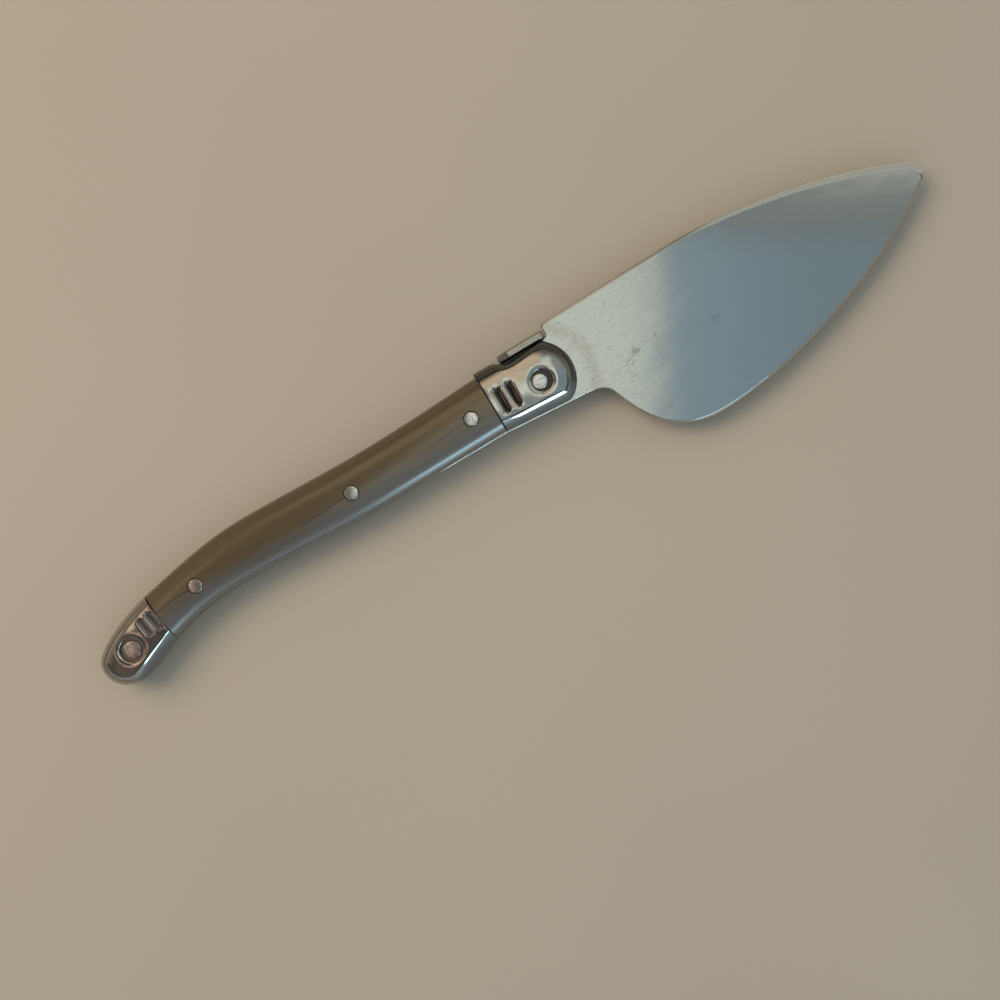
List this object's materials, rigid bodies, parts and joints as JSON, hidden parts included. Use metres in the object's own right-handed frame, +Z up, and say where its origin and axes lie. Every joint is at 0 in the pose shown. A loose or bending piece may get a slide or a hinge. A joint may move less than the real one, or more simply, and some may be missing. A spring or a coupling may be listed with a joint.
{
  "type": "cheese knife",
  "caption": "Fixed cheese knife with a broad leaf-shaped steel blade on a full tang, pearl plastic scales, fluted steel bolsters and through rivets.",
  "frame": {"origin": "under the middle of the knife's outline, on the table it lies on", "axes": "+X along the knife to the tip, +Y to the spine, +Z up out of the right-hand side; the knife lies on its left side"},
  "size_m": [0.2278, 0.0406, 0.0108],
  "materials": {
    "blade_steel": "satin, finely brushed along the blade, with use scratches",
    "bolster_steel": "mirror-polished steel, lightly worn",
    "rivet_steel": "satin, spotted",
    "pearl_plastic": "polished taupe pearl plastic"
  },
  "bodies": {
    "root": {"blade": "blade_steel", "spine_plate": "bolster_steel", "front_bolster_right": "bolster_steel", "front_bolster_left": "bolster_steel", "scale_right": "pearl_plastic", "scale_left": "pearl_plastic", "rear_bolster_right": "bolster_steel", "rear_bolster_left": "bolster_steel", "front_bolster_rivet": "rivet_steel", "scale_rivet_front": "rivet_steel", "scale_rivet_middle": "rivet_steel", "scale_rivet_rear": "rivet_steel", "rear_bolster_rivet": "rivet_steel"}
  },
  "joints": []
}
